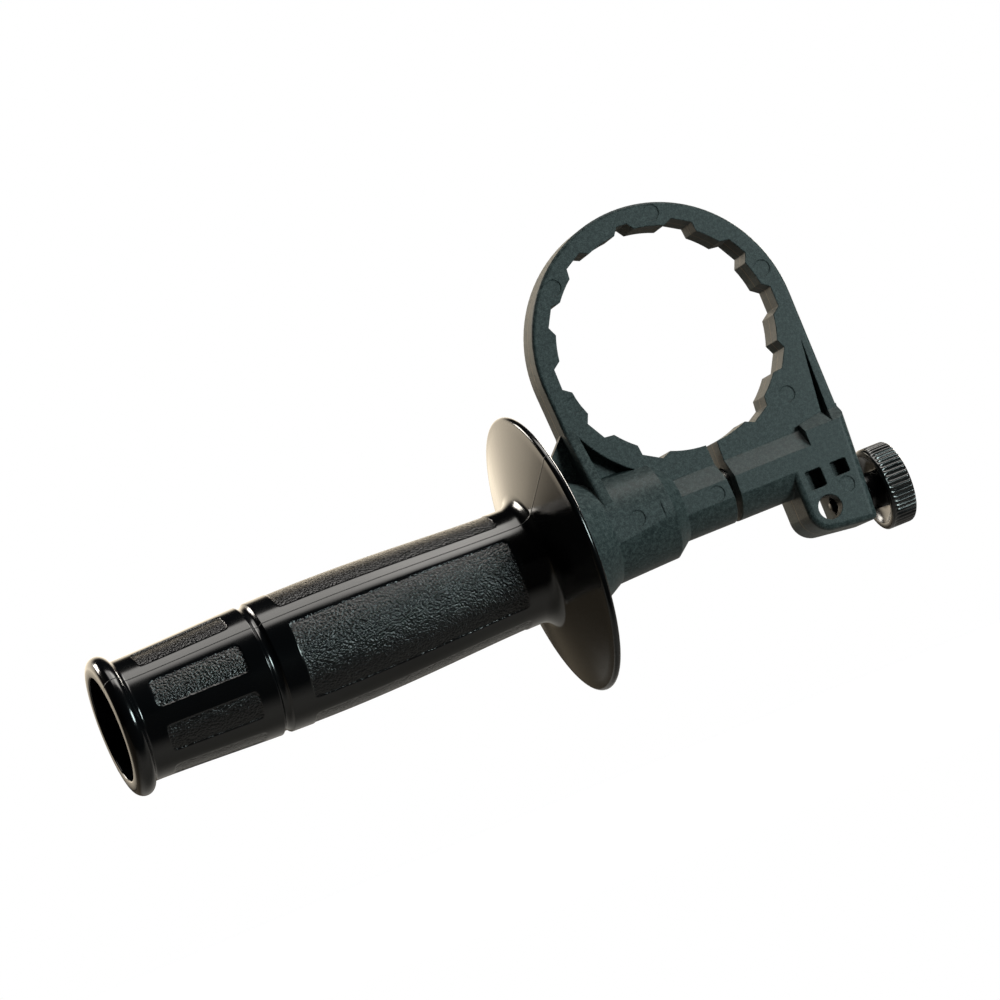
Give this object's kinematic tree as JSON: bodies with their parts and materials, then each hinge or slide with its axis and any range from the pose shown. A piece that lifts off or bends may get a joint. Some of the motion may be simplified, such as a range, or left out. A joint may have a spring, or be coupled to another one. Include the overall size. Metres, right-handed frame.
{
  "type": "power tool side handle",
  "caption": "Side handle for a hammer drill: hollow grip with a round guard, split clamp ring with a toothed bore, and a depth-rod block with its thumbscrew.",
  "frame": {"origin": "centre of the clamp bore, at the middle of the ring's width", "axes": "+Y along the clamp bore away from the face with the pockets, +X along the clamping bolt from the grip towards the thumbscrew, +Z from the bolt towards the ring"},
  "size_m": [0.2127, 0.0732, 0.1118],
  "materials": {
    "glass_filled_nylon": "matte, faintly mottled",
    "grip_plastic": "glossy with grained panels",
    "knob_plastic": "glossy, ribbed",
    "zinc_steel": "bright zinc plate",
    "black_steel": "black oxide",
    "insert_brass": "plain turned brass"
  },
  "bodies": {
    "clamp": {"collar": "glass_filled_nylon", "thread_insert": "insert_brass"},
    "handle": {"grip": "grip_plastic", "grip_nut": "zinc_steel"},
    "bolt": {"tie_bolt": "zinc_steel"},
    "screw": {"thumbscrew_stud": "black_steel"},
    "knob": {"thumbscrew_knob": "knob_plastic"}
  },
  "joints": [
    {"name": "grip_turn", "type": "hinge", "parent": "clamp", "child": "handle", "pos_m": [-0.055, 0, -0.04], "axis": [-1, 0, 0], "range_deg": [0, 720]},
    {"name": "bolt_draw", "type": "slide", "parent": "clamp", "child": "bolt", "axis": [1, 0, 0], "range_m": [0, 0.0025]},
    {"name": "screw_travel", "type": "slide", "parent": "clamp", "child": "screw", "axis": [1, 0, 0], "range_m": [0, 0.0024]},
    {"name": "knob_turn", "type": "hinge", "parent": "screw", "child": "knob", "pos_m": [0.0408, 0, -0.0552], "axis": [1, 0, 0], "range_deg": [0, 1080]}
  ],
  "couplings": [
    {"joint": "bolt_draw", "follows": "grip_turn", "m_per_rad": 0.00019894},
    {"joint": "screw_travel", "follows": "knob_turn", "m_per_rad": 0.00012732}
  ]
}
